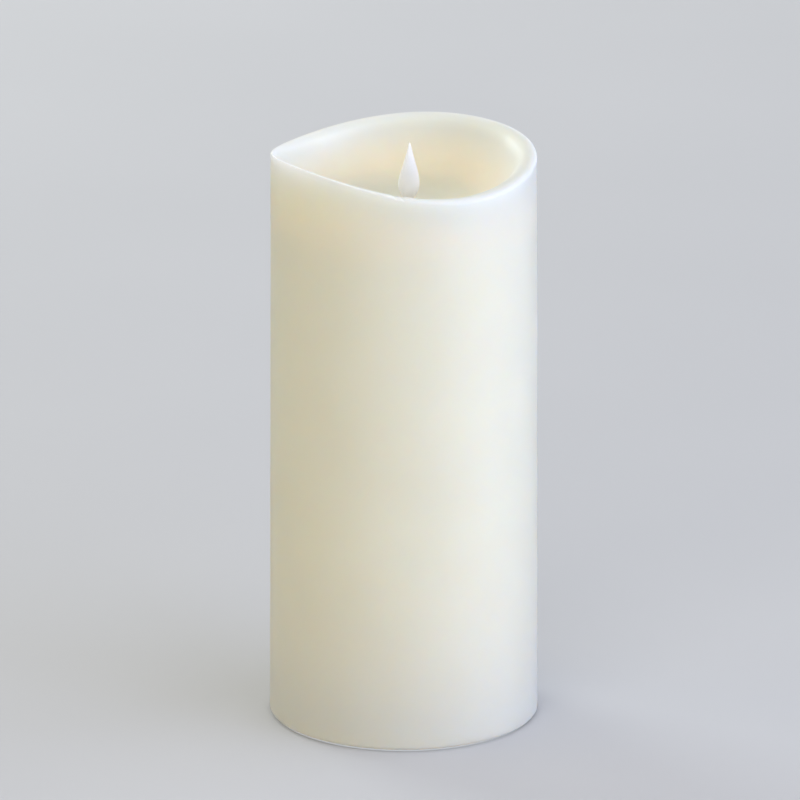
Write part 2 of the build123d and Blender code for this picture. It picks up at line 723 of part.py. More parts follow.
def spiral(turns, start_radius, end_radius, height):
    """A smooth cone-shaped spiral about Z, rising from the origin's plane."""
    steps = int(12 * turns)
    points = []
    for i in range(steps + 1):
        share = i / steps
        angle = 2 * math.pi * turns * share
        radius = start_radius + (end_radius - start_radius) * share
        points.append(Vector(radius * math.cos(angle), radius * math.sin(angle), height * share))
    return Spline(points)


def cell_spring(side):
    """The cone spring behind a cell's flat end."""
    base_x = -BOX_HALF_X + CONTACT + SPRING_WIRE + 0.05
    nub_tip = BOX_HALF_X - CONTACT - 0.05
    end_x = nub_tip - CELL_BODY - CELL_NUB - SPRING_WIRE - 0.05
    path = spiral(SPRING_TURNS, SPRING_WIDE, SPRING_NARROW, end_x - base_x)
    section = Plane(origin=path @ 0, z_dir=path % 0) * Circle(SPRING_WIRE)
    coil = sweep(section, path=path, is_frenet=True)
    turn = 0 if side < 0 else 180
    return Pos(0, side * CELL_Y, CELL_Z) * Rot(0, 0, turn) * Pos(base_x, 0, 0) * Rot(0, 90, 0) * coil


def switch_body():
    """The slide switch's case, open below for the slider."""
    x, y = SWITCH_HALF_X, SWITCH_HALF_Y
    body = block(-x, x, SWITCH_Y - y, SWITCH_Y + y, PLATE_HIGH + SEAT, SWITCH_HIGH)
    body = fillet(body.edges().filter_by(Axis.Z), 0.5)
    x = SLIDER_FOOT_X + SWITCH_TRAVEL + 0.3
    y = SLIDER_FOOT_Y + 0.1
    return body - block(-x, x, SWITCH_Y - y, SWITCH_Y + y, PLATE_HIGH - 1, SWITCH_ROOM_HIGH)


def switch_slider():
    """The slider: a foot inside the case and a ribbed knob through the base."""
    x, y = SLIDER_FOOT_X, SLIDER_FOOT_Y
    foot_top = SWITCH_ROOM_HIGH - 0.4
    foot = block(-x, x, SWITCH_Y - y, SWITCH_Y + y, PLATE_HIGH + 0.15, foot_top)
    x, y = KNOB_X, KNOB_Y
    knob = block(-x, x, SWITCH_Y - y, SWITCH_Y + y, DOOR_LOW, PLATE_HIGH + 0.5)
    for i in range(3):
        x = -1.1 + 1.1 * i
        knob = knob - block(x - 0.2, x + 0.2, SWITCH_Y - 2, SWITCH_Y + 2, 0, DOOR_LOW + 0.3)
    return foot + knob


def switch_board():
    """The small board that the switch is soldered to."""
    x, y = SWITCH_BOARD_X, SWITCH_BOARD_Y
    board = block(-x, x, SWITCH_Y - y, SWITCH_Y + y, SWITCH_HIGH + SEAT, SWITCH_BOARD_HIGH)
    board = fillet(board.edges().filter_by(Axis.Z), 1.0)
    for side in (-1, 1):
        board = board - cyl(SMALL_BORE, 0, 20, side * SWITCH_POST_X, SWITCH_Y)
    return board


def switch_board_screws():
    """The screws that hold the switch board to its posts."""
    base = Rot(180, 0, 0) * screw(SMALL_SCREW, 0, 5.0, SMALL_HEAD)
    high = SWITCH_BOARD_HIGH + SEAT
    return [Pos(side * SWITCH_POST_X, SWITCH_Y, high) * base for side in (-1, 1)]


def battery_lead(side):
    """A lead from a contact's tag up to the board: side is -1 for negative."""
    start = (-BOX_HALF_X + CONTACT / 2, side * CELL_Y, TAG_TOP + SEAT)
    end = (FLAME_X - 8 + side, side * 5 - 6, board_under() - SEAT)
    low = (start[0] - 1.2, start[1] * 0.9, 40)
    high = (-20 + side, side * 4, 92)
    return lead([start, low, high, end], LEAD_RADIUS, (0, 0, 1), (0, 0, 1))


def switch_leads():
    """Two leads from the switch board up to the control board."""
    leads = []
    for side in (-1, 1):
        start = (side * 2, SWITCH_Y + 1, SWITCH_BOARD_HIGH + SEAT)
        end = (FLAME_X + side * 1.6, 12.4, board_under() - SEAT)
        points = [start, (side * 2.2, 27, 38), (side * 2.0 + 2, 25, 88), end]
        leads.append(lead(points, LEAD_RADIUS, (0, 0, 1), (0, 0, 1)))
    return leads


NODES = {
    "wax_shell": wax_shell,
    "liner": liner,
    "flame": flame,
    "flame_magnet": flame_magnet,
    "pivot_wire": pivot_wire,
    "coil_bobbin": coil_bobbin,
    "coil_winding": coil_winding,
    "coil_pins": coil_pins,
    "lamp": lamp,
    "lamp_leads": lamp_leads,
    "carrier_left": lambda: carrier_half(-1),
    "carrier_right": lambda: carrier_half(1),
    "clamp_screws": clamp_screws,
    "deck_screws": deck_screws,
    "control_board": control_board,
    "board_screws": board_screws,
    "controller_chip": controller_chip,
    "timer_crystal": timer_crystal,
    "capacitor": capacitor,
    "driver_transistor": driver_transistor,
    "chip_resistors": chip_resistors,
    "base_plate": base_plate,
    "base_screws": base_screws,
    "battery_door": battery_door,
    "cell_front": lambda: cell(-1),
    "cell_back": lambda: cell(1),
    "positive_contact": positive_contact,
    "negative_contact": negative_contact,
    "series_link": series_link,
    "negative_spring": lambda: cell_spring(-1),
    "link_spring": lambda: cell_spring(1),
    "switch_body": switch_body,
    "switch_slider": switch_slider,
    "switch_board": switch_board,
    "switch_board_screws": switch_board_screws,
    "positive_lead": lambda: battery_lead(1),
    "negative_lead": lambda: battery_lead(-1),
    "switch_leads": switch_leads,
}


def main():
    """Writes one STEP file for each node."""
    os.makedirs("parts", exist_ok=True)
    for name, make in NODES.items():
        made = make()
        solids = []
        for piece in made if isinstance(made, list) else [made]:
            solids.extend(piece.solids())
        export_step(Compound(children=solids), f"parts/{name}.step")


main()
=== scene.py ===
import json
import math

import bmesh
import bpy
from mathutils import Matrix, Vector, noise


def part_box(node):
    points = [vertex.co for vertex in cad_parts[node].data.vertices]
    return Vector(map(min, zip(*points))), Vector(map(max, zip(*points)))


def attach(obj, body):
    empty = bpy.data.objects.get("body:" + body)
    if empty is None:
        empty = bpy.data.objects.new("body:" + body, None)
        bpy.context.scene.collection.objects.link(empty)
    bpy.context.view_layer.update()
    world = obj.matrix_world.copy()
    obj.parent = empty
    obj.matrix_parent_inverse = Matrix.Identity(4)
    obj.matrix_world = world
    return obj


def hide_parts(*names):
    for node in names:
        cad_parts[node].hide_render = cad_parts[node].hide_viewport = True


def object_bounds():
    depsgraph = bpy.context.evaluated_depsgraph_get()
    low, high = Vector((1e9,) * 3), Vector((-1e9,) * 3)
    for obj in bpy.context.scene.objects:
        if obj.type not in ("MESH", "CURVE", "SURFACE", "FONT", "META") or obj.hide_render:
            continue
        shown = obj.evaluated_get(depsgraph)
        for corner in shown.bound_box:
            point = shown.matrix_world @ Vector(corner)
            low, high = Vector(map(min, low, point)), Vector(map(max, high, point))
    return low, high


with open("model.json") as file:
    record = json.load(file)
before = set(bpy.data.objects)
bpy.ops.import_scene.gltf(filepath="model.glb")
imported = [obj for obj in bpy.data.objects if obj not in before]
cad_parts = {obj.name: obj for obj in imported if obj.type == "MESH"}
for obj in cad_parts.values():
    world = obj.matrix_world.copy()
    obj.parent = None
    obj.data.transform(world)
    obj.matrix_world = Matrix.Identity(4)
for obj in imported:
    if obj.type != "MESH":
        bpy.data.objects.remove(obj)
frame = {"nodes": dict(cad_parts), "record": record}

# Looks of a flameless candle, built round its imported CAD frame. Metres, +Z up,
# front towards -Y. Sizes below are in millimetres and are scaled by MM.
MM = 0.001
CAD_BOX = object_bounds()

# Wax pillar: the same shape that the frame's wax_shell has
AROUND = 432
BOTTOM_RADIUS = 41.5
TOP_RADIUS = 40.5
WAX_BOTTOM = 0.5
EDGE_ROUND = 0.8
RIM_HEIGHT = 178.0
RIM_WAVES = ((1, 1.57, 107), (2, 2.43, 42), (3, 0.74, -20))
BOWL_SHIFT = -1.8
BOWL_FLOOR_SHIFT = -4.3
BOWL_FLOOR = 161.5
BOWL_FLOOR_RADIUS = 30.5
BOWL_RIM_RADIUS = 37.6
HEEL_HEIGHT = 169.5
HEEL_START = 21.0
HEEL_PULL_IN = 8.0
HEEL_PULL_DOWN = 5.5
DISH = 0.35
CAVITY_RADIUS = 35.5
CAVITY_TOP = 156.5
THROAT_RADIUS = 6.0
THROAT_BACK = -1.5
THROAT_FRONT = -7.0
THROAT_ROUND = 0.9
NICK_ANGLES = (267.0, 270.0)
NICK_WIDTH = 0.9
NICK_DEPTH = 0.42

# Lip: how far below the crest its rounding starts, and how that grows with the wall
LIP_OUT_DROP = 0.35
LIP_OUT_GROWTH = 0.22
LIP_IN_DROP = 0.9
LIP_IN_GROWTH = 0.34
LIP_HEEL_GAP = 0.4
# Where the crest lies between the lip's two ends, and how full each curve is
CREST_SHARE = 0.2
OUT_PULL = 0.6
IN_PULL = 0.4
WALL_PULL = 0.55
BOWL_MARGIN = 0.5

# Rows of faces along each stretch of the wax's section
EDGE_ROWS = 4
WALL_ROWS = 44
LIP_OUT_ROWS = 6
LIP_IN_ROWS = 12
BOWL_ROWS = 6
HEEL_ROWS = 14
FLOOR_ROWS = 8
THROAT_ROWS = 5
THROAT_HEIGHTS = (159.0, 157.5, CAVITY_TOP)
CEILING_SHARES = (0.3, 0.7)
CAVITY_SHARES = (0.0, 0.02, 0.3, 0.6, 0.9, 0.995, 1.0)

# Ripples of the cast surface: height, and waves in each millimetre
SLOW_RIPPLE = (0.07, 0.035)
FINE_RIPPLE = (0.025, 0.16)
FINE_OFFSET = (7, 3, 1)
RIPPLE_INSET = 0.06
# How near a point has to be to count as lying on a surface
TOUCH = 0.01

# Flame
FLAME_X = 1.5
FLAME_TIP = 181.45
# Half width at each distance below the tip
FLAME_POINTS = ((0, 0.16), (1.0, 0.48), (2.6, 0.9), (5.6, 1.72), (8.7, 2.62), (11.0, 3.12), (13.0, 3.28))
FLAME_POINTS += ((14.9, 2.92), (16.5, 2.15), (17.6, 1.6), (18.8, 1.4), (20.6, 1.5), (24.0, 1.55))
FLAME_WIDEST = 13.0
FLAME_SOLE = 15.0
FLAME_LEAN = 0.25
FLAME_BELLY = 0.0875
FLAME_THICK = 0.56
FLAME_LEAST_THICK = 0.11
FLAME_TWIST = 46.0
FLAME_TWIST_POWER = 1.2
FLAME_SQUARENESS = 0.14
FLAME_RIDGE_POWER = 1.15
FLAME_AROUND = 64
FLAME_STEPS = 72
FLAME_STEP_POWER = 1.25
NECK_START = 14.0
NECK_LENGTH = 5.5
STEM_THICK = 0.58
STEM_JOIN = 159.5

# Looks: linear colours, fades in millimetres, the depths of the glow in metres
WAX_COLOR = (0.887, 0.838, 0.655)
# Painted light: the cool, dimmed tone of light shining through the thin outer lip
LIP_PAINTED_LIGHT = (0.71, 0.745, 0.69)
# Painted shade on the bowl's inner rim wall
RIM_PAINTED_SHADE = (0.60, 0.64, 0.63)
# Painted shade along the crest, damping its highlight line
CREST_PAINTED_SHADE = (0.56, 0.56, 0.50)
# Painted shade towards the foot
FOOT_PAINTED_SHADE = (0.60, 0.62, 0.58)
# Painted warm light deep in the bowl
POOL_PAINTED_LIGHT = (0.98, 0.89, 0.67)
RIM_FADE = 26.0
POOL_DEEP = 12.0
FOOT_FADE = 70.0
FOOT_SHARE = 0.7
WAX_DEPTH = 0.009
WAX_SPREAD = (0.88, 0.74, 0.58)
PINHOLES_PER_METRE = 60.0
FLAME_COLOR = (0.80, 0.81, 0.80)
# Painted shade: how dark the flame's colour gets at its tip
FLAME_TIP_SHADE = 0.66
FLAME_TIP_FADE = 3.0
FLAME_DEPTH = 0.006
FLAME_SPREAD = (1.0, 0.95, 0.9)
TIN = (0.62, 0.62, 0.62)
STEEL = (0.62, 0.62, 0.63)
# Where a noise's middle range starts and ends
BAND = (0.3, 0.7)

# Stage: colours are linear, sizes in metres, angles in degrees, the camera's aim in
# millimetres
FLOOR_RADIUS = 3.0
FLOOR_HOLE = 0.0405
FLOOR_FADE = (0.45, 0.98)
FLOOR_COLOR = (0.565, 0.57, 0.57)
FLOOR_BOUNCE = (0.11, 0.105, 0.1)
WALL_COLOR = (0.55, 0.57, 0.6)
FILL_COLOR = (1.0, 1.0, 1.0)
FILL_STRENGTH = 0.34
# name, azimuth, elevation, distance, width, height, watts, colour
LIGHTS = (
    ("key", 40, 14, 2.0, 1.5, 1.2, 13.4, (0.62, 0.68, 1.0)),
    ("side", 65, 12, 2.0, 1.5, 1.2, 14.4, (0.65, 0.72, 1.0)),
    ("window", 90, 8, 2.0, 2.6, 1.2, 33.0, (0.68, 0.75, 1.0)),
    ("front_fill", -20, 15, 2.0, 1.5, 1.2, 15.6, (1.0, 0.95, 0.88)),
    ("left_fill", -90, 14, 2.0, 1.5, 1.2, 6.6, (1.0, 0.88, 0.68)),
    ("back_left", -140, 26, 2.0, 0.9, 0.9, 13.0, (0.92, 0.98, 1.0)),
    ("back_fill", 180, 14, 2.0, 2.0, 1.2, 8.8, (1.0, 1.0, 1.0)),
    ("top", 10, 80, 2.0, 1.5, 1.5, 8.4, (1.0, 0.98, 0.96)),
    ("under", 20, -70, 0.8, 0.6, 0.6, 4.0, (1.0, 1.0, 1.0)),
)
CAMERA_DISTANCE = 2.488
CAMERA_RISE = 17.69
CAMERA_MIDDLE = 0.49
CAMERA_AIM_X = -1.17
CAMERA_AIM_UP = 10.75
LENS = 365.0
SENSOR = 36.0
CLIP_NEAR = 0.05
CLIP_FAR = 50.0


# Mesh tools


def new_object(name, mesh):
    """Links a mesh into the scene as an object."""
    piece = bpy.data.objects.new(name, mesh)
    bpy.context.scene.collection.objects.link(piece)
    return piece


def shade_smooth(mesh):
    """Smooth shading on every face; the mesh's shape stays as it is."""
    for face in mesh.polygons:
        face.use_smooth = True


def smooth(mesh, sharp_degrees=38):
    """Smooth shading, with edges sharper than the angle kept crisp."""
    shade_smooth(mesh)
    mesh.set_sharp_from_angle(angle=math.radians(sharp_degrees))


def tube_mesh(name, rings, closed):
    """A mesh from rings of points in millimetres, joined by quads; closed joins last to first."""
    count = len(rings[0])
    points = [tuple(c * MM for c in p) for ring in rings for p in ring]
    faces = []
    spans = len(rings) if closed else len(rings) - 1
    for k in range(spans):
        low = k * count
        high = ((k + 1) % len(rings)) * count
        for j in range(count):
            nxt = (j + 1) % count
            faces.append((low + j, low + nxt, high + nxt, high + j))
    if not closed:
        faces.append(tuple(reversed(range(count))))
        faces.append(tuple(range(len(points) - count, len(points))))
    mesh = bpy.data.meshes.new(name)
    mesh.from_pydata(points, [], faces)
    mesh.validate()
    work = bmesh.new()
    work.from_mesh(mesh)
    bmesh.ops.recalc_face_normals(work, faces=work.faces)
    if work.calc_volume(signed=True) < 0:
        bmesh.ops.reverse_faces(work, faces=work.faces)
    work.to_mesh(mesh)
    work.free()
    return mesh


def bezier(start, start_pull, end_pull, end, share):
    """A point on a cubic curve."""
    a, b, c, d = (Vector(p) for p in (start, start_pull, end_pull, end))
    rest = 1 - share
    return a * rest**3 + b * 3 * rest**2 * share + c * 3 * rest * share**2 + d * share**3


def through(points, x):
    """A smooth curve's value at x, through points whose x rises."""
    last = len(points) - 2
    i = 0
    while i < last and points[i + 1][0] <= x:
        i += 1
    p0 = points[max(i - 1, 0)]
    p1, p2 = points[i], points[i + 1]
    p3 = points[min(i + 2, last + 1)]
    span = p2[0] - p1[0]
    t = min(1.0, (x - p1[0]) / span)
    slope1 = (p2[1] - p0[1]) / (p2[0] - p0[0]) * span
    slope2 = (p3[1] - p1[1]) / (p3[0] - p1[0]) * span
    a = 2 * t**3 - 3 * t**2 + 1
    b = t**3 - 2 * t**2 + t
    return a * p1[1] + b * slope1 + (1 - a) * p2[1] + (t**3 - t**2) * slope2


# Wax pillar


def rim_height(angle):
    """Height of the melted rim's crest at an angle."""
    height = RIM_HEIGHT
    for waves, size, crest in RIM_WAVES:
        height += size * math.cos(waves * (angle - math.radians(crest)))
    for nick in NICK_ANGLES:
        off = (math.degrees(angle) % 360 - nick) / NICK_WIDTH
        height -= NICK_DEPTH * math.exp(-off * off)
    return height


def wall_radius(height):
    """Outer radius of the pillar at a height."""
    share = (height - WAX_BOTTOM) / (RIM_HEIGHT - WAX_BOTTOM)
    return BOTTOM_RADIUS + (TOP_RADIUS - BOTTOM_RADIUS) * share


def bowl_radius(height):
    """Radius of the bowl's wall about its centre line, above its heel."""
    share = (height - BOWL_FLOOR) / (RIM_HEIGHT - BOWL_FLOOR)
    return BOWL_FLOOR_RADIUS + (BOWL_RIM_RADIUS - BOWL_FLOOR_RADIUS) * share


def bowl_centre(height):
    """Where the bowl's centre line is at a height: the bowl leans to the left as it deepens."""
    share = (height - BOWL_FLOOR) / (RIM_HEIGHT - BOWL_FLOOR)
    return BOWL_FLOOR_SHIFT + (BOWL_SHIFT - BOWL_FLOOR_SHIFT) * share


def bowl_wall(angle, height):
    """A point on the bowl's wall."""
    return turn(angle, bowl_radius(height), height, bowl_centre(height))


def turn(angle, radius, height, centre=0.0):
    """A point on a level circle."""
    return (centre + radius * math.cos(angle), radius * math.sin(angle), height)


def throat_point(share, grow, height):
    """A point round the throat's opening, by its share of the way round."""
    radius = THROAT_RADIUS + grow
    straight = THROAT_BACK - THROAT_FRONT
    length = 2 * straight + 2 * math.pi * radius
    along = share * length
    half = straight / 2
    middle = (THROAT_BACK + THROAT_FRONT) / 2
    arc = math.pi * radius
    if along < half:
        x, y = radius, along
    elif along < half + arc:
        angle = (along - half) / radius
        x, y = radius * math.cos(angle), half + radius * math.sin(angle)
    elif along < half + arc + straight:
        x, y = -radius, half - (along - half - arc)
    elif along < half + 2 * arc + straight:
        angle = math.pi + (along - half - arc - straight) / radius
        x, y = radius * math.cos(angle), -half + radius * math.sin(angle)
    else:
        x, y = radius, along - length
    return (FLAME_X + x, middle + y, height)


def lip_section(angle):
    """The lip's cross-section at an angle, from the outer wall over into the bowl."""
    crest = rim_height(angle)
    out_radius = wall_radius(crest)
    thick = out_radius - (bowl_radius(crest) + bowl_centre(crest) * math.cos(angle))
    drop_out = LIP_OUT_DROP + LIP_OUT_GROWTH * thick
    drop_in = LIP_IN_DROP + LIP_IN_GROWTH * thick**2
    low_in = max(crest - drop_in, HEEL_HEIGHT + LIP_HEEL_GAP)
    outer = turn(angle, wall_radius(crest - drop_out), crest - drop_out)
    inner = bowl_wall(angle, low_in)
    start = Vector(outer)
    end = Vector(inner)
    top = start.lerp(end, CREST_SHARE)
    top.z = crest
    rise = Vector((0, 0, drop_out * OUT_PULL))
    flat_out = (start - top) * OUT_PULL
    flat_out.z = 0
    flat_in = (end - top) * IN_PULL
    flat_in.z = 0
    wall = (Vector(bowl_wall(angle, crest)) - end) * WALL_PULL
    points = []
    for k in range(LIP_OUT_ROWS):
        points.append(bezier(start, start + rise, top + flat_out, top, k / LIP_OUT_ROWS))
    for k in range(LIP_IN_ROWS + 1):
        points.append(bezier(top, top + flat_in, end + wall, end, k / LIP_IN_ROWS))
    return points


def level_ring(angles, radius, height, centre=0.0):
    """A level ring of points round a centre line."""
    return [turn(a, radius, height, centre) for a in angles]


def throat_ring(grow, height):
    """A level ring of points round the throat's opening."""
    return [throat_point(j / AROUND, grow, height) for j in range(AROUND)]


def wall_rings(angles, lips):
    """The rounded foot edge and the outer wall, up to the lip."""
    rings = []
    for k in range(EDGE_ROWS + 1):
        bend = math.pi / 2 * k / EDGE_ROWS
        inset = EDGE_ROUND * (1 - math.sin(bend))
        height = WAX_BOTTOM + EDGE_ROUND * (1 - math.cos(bend))
        rings.append(level_ring(angles, wall_radius(height) - inset, height))
    foot = WAX_BOTTOM + EDGE_ROUND
    for k in range(1, WALL_ROWS):
        ring = []
        for a, lip in zip(angles, lips):
            height = foot + (lip[0].z - foot) * (k / WALL_ROWS)
            ring.append(turn(a, wall_radius(height), height))
        rings.append(ring)
    return rings


def bowl_rings(angles, lips):
    """The bowl's wall below the lip, its curved heel and its dished floor."""
    rings = []
    for k in range(1, BOWL_ROWS + 1):
        ring = []
        for a, lip in zip(angles, lips):
            height = lip[-1].z + (HEEL_HEIGHT - lip[-1].z) * k / BOWL_ROWS
            ring.append(bowl_wall(a, height))
        rings.append(ring)
    wall_foot = (bowl_radius(HEEL_HEIGHT), HEEL_HEIGHT)
    pull_height = HEEL_HEIGHT - HEEL_PULL_DOWN
    wall_pull = (bowl_radius(pull_height), pull_height)
    floor_pull = (HEEL_START + HEEL_PULL_IN, BOWL_FLOOR)
    floor_edge = (HEEL_START, BOWL_FLOOR)
    for k in range(1, HEEL_ROWS + 1):
        r, z = bezier(wall_foot, wall_pull, floor_pull, floor_edge, k / HEEL_ROWS)
        rings.append(level_ring(angles, r, z, bowl_centre(z)))
    edge = throat_ring(THROAT_ROUND, BOWL_FLOOR - DISH)
    for k in range(1, FLOOR_ROWS + 1):
        share = k / FLOOR_ROWS
        sag = BOWL_FLOOR - DISH * math.sin(math.pi / 2 * share)
        ring = []
        for a, rim in zip(angles, edge):
            place = Vector(turn(a, HEEL_START, 0, BOWL_FLOOR_SHIFT)).lerp(Vector(rim), share)
            ring.append((place.x, place.y, sag))
        rings.append(ring)
    return rings


def inner_rings(angles):
    """The throat, the ceiling over the works and the cavity, down to the foot."""
    rings = []
    for k in range(1, THROAT_ROWS + 1):
        bend = math.pi / 2 * k / THROAT_ROWS
        grow = THROAT_ROUND * (1 - math.sin(bend))
        height = BOWL_FLOOR - DISH - THROAT_ROUND * (1 - math.cos(bend))
        rings.append(throat_ring(grow, height))
    for height in THROAT_HEIGHTS:
        rings.append(throat_ring(0, height))
    for share in CEILING_SHARES:
        ring = []
        for a, near in zip(angles, throat_ring(0, CAVITY_TOP)):
            ring.append(tuple(Vector(near).lerp(Vector(turn(a, CAVITY_RADIUS, CAVITY_TOP)), share)))
        rings.append(ring)
    for share in CAVITY_SHARES:
        height = CAVITY_TOP + (WAX_BOTTOM - CAVITY_TOP) * share
        rings.append(level_ring(angles, CAVITY_RADIUS, height))
    return rings


def wax_rings():
    """Rings of points from the foot, up the wall, over the lip, through the throat and back."""
    angles = [2 * math.pi * j / AROUND for j in range(AROUND)]
    lips = [lip_section(a) for a in angles]
    rings = wall_rings(angles, lips)
    for k in range(len(lips[0])):
        rings.append([tuple(lip[k]) for lip in lips])
    return rings + bowl_rings(angles, lips) + inner_rings(angles)


def wax_ripple(point):
    """How far the cast surface stands off its true form, in millimetres."""
    place = Vector(point)
    slow = noise.noise(place * SLOW_RIPPLE[1])
    fine = noise.noise(place * FINE_RIPPLE[1] + Vector(FINE_OFFSET))
    return SLOW_RIPPLE[0] * slow + FINE_RIPPLE[0] * fine


def mark_wax(mesh):
    """Stores how near each point is to the rim and the foot, and how deep it is in the bowl."""
    rim_nearness = mesh.attributes.new("rim_nearness", "FLOAT", "POINT")
    pool = mesh.attributes.new("pool", "FLOAT", "POINT")
    foot = mesh.attributes.new("foot", "FLOAT", "POINT")
    for vertex, near_rim, deep, low in zip(mesh.vertices, rim_nearness.data, pool.data, foot.data):
        x, y, z = (c / MM for c in vertex.co)
        below = max(0.0, rim_height(math.atan2(y, x)) - z)
        # How near the rim a point is; it sets where the rim's painted light and shade go
        near_rim.value = max(0.0, 1 - below / RIM_FADE) ** 2
        # Share of painted shade, strongest at the foot
        low.value = FOOT_SHARE * max(0.0, 1 - z / FOOT_FADE) ** 2
        inside = math.hypot(x - bowl_centre(z), y) < bowl_radius(z) + BOWL_MARGIN
        deep.value = min(1.0, below / POOL_DEEP) if inside else 0.0


def wax_pillar():
    """The wax shell, with soft ripples on the surfaces that show."""
    rings = []
    for ring in wax_rings():
        shown = []
        for x, y, z in ring:
            radius = math.hypot(x, y)
            hidden = radius < CAVITY_RADIUS + TOUCH and z < CAVITY_TOP + TOUCH
            if z > WAX_BOTTOM + EDGE_ROUND and not hidden and radius > 1:
                ripple = wax_ripple((x, y, z)) - RIPPLE_INSET
                x, y = x * (1 + ripple / radius), y * (1 + ripple / radius)
            shown.append((x, y, z))
        rings.append(shown)
    mesh = tube_mesh("wax_pillar", rings, closed=True)
    smooth(mesh)
    mark_wax(mesh)
    return new_object("wax_pillar", mesh)


# Flame


def flame_section(below):
    """One level ring of the flame, twisted as it rises and softly ridged."""
    width = through(FLAME_POINTS, below)
    neck = min(1.0, max(0.0, (below - NECK_START) / NECK_LENGTH))
    thick = width * (FLAME_THICK + (STEM_THICK - FLAME_THICK) * neck)
    thick = max(thick, FLAME_LEAST_THICK)
    down = min(1.0, below / FLAME_SOLE)
    twist = math.radians(FLAME_TWIST) * (1 - neck) * (1 - down) ** FLAME_TWIST_POWER
    belly = FLAME_BELLY * math.sin(math.pi * down) * (1 - neck)
    # A power under 1 squares the outline a little; a higher one keeps the ridge in front
    wide_power = 1 - FLAME_SQUARENESS * (1 - neck)
    deep_power = FLAME_RIDGE_POWER * wide_power
    side = FLAME_LEAN * max(0.0, 1 - below / FLAME_WIDEST)
    ring = []
    for j in range(FLAME_AROUND):
        angle = 2 * math.pi * j / FLAME_AROUND
        c, s = math.cos(angle), math.sin(angle)
        x = width * math.copysign(abs(c) ** wide_power, c)
        y = thick * math.copysign(abs(s) ** deep_power, s) - belly
        px = x * math.cos(twist) - y * math.sin(twist)
        py = x * math.sin(twist) + y * math.cos(twist)
        ring.append((FLAME_X + side + px, py, FLAME_TIP - below))
    return ring


def flame_blade_mesh(name):
    """The flame's drop and the top of its stem, closed at both ends."""
    depth = FLAME_POINTS[-1][0]
    shares = [(k / FLAME_STEPS) ** FLAME_STEP_POWER for k in range(FLAME_STEPS + 1)]
    return tube_mesh(name, [flame_section(depth * share) for share in shares], closed=False)


def cad_copy(node, name):
    """A welded copy of a CAD node's mesh, to build on."""
    mesh = frame["nodes"][node].data.copy()
    mesh.name = name
    work = bmesh.new()
    work.from_mesh(mesh)
    bmesh.ops.remove_doubles(work, verts=work.verts, dist=1e-6)
    work.to_mesh(mesh)
    work.free()
    return mesh


def cut_above(mesh, height):
    """Takes away what is above a height and closes the cut."""
    work = bmesh.new()
    work.from_mesh(mesh)
    shape = work.verts[:] + work.edges[:] + work.faces[:]
    cut = bmesh.ops.bisect_plane(
        work, geom=shape, plane_co=(0, 0, height * MM), plane_no=(0, 0, 1), clear_outer=True
    )
    edges = [e for e in cut["geom_cut"] if isinstance(e, bmesh.types.BMEdge)]
    bmesh.ops.holes_fill(work, edges=edges)
    bmesh.ops.recalc_face_normals(work, faces=work.faces)
    work.to_mesh(mesh)
    work.free()


def join_solid(piece, other):
    """Unites another closed mesh with a piece and applies the result."""
    helper = new_object("helper", other)
    step = piece.modifiers.new("join", "BOOLEAN")
    step.operation = "UNION"
    step.solver = "EXACT"
    step.object = helper
    bpy.context.view_layer.update()
    seen = piece.evaluated_get(bpy.context.evaluated_depsgraph_get())
    mesh = bpy.data.meshes.new_from_object(seen)
    piece.modifiers.clear()
    piece.data = mesh
    bpy.data.objects.remove(helper)


def flame_piece():
    """The whole moulded flame: a fine drop above the frame's own stem, eye and cup."""
    lower = cad_copy("flame", "flame_lower")
    cut_above(lower, STEM_JOIN)
    piece = new_object("flame_moulding", flame_blade_mesh("flame_moulding"))
    join_solid(piece, lower)
    smooth(piece.data, sharp_degrees=50)
    return piece


# Materials


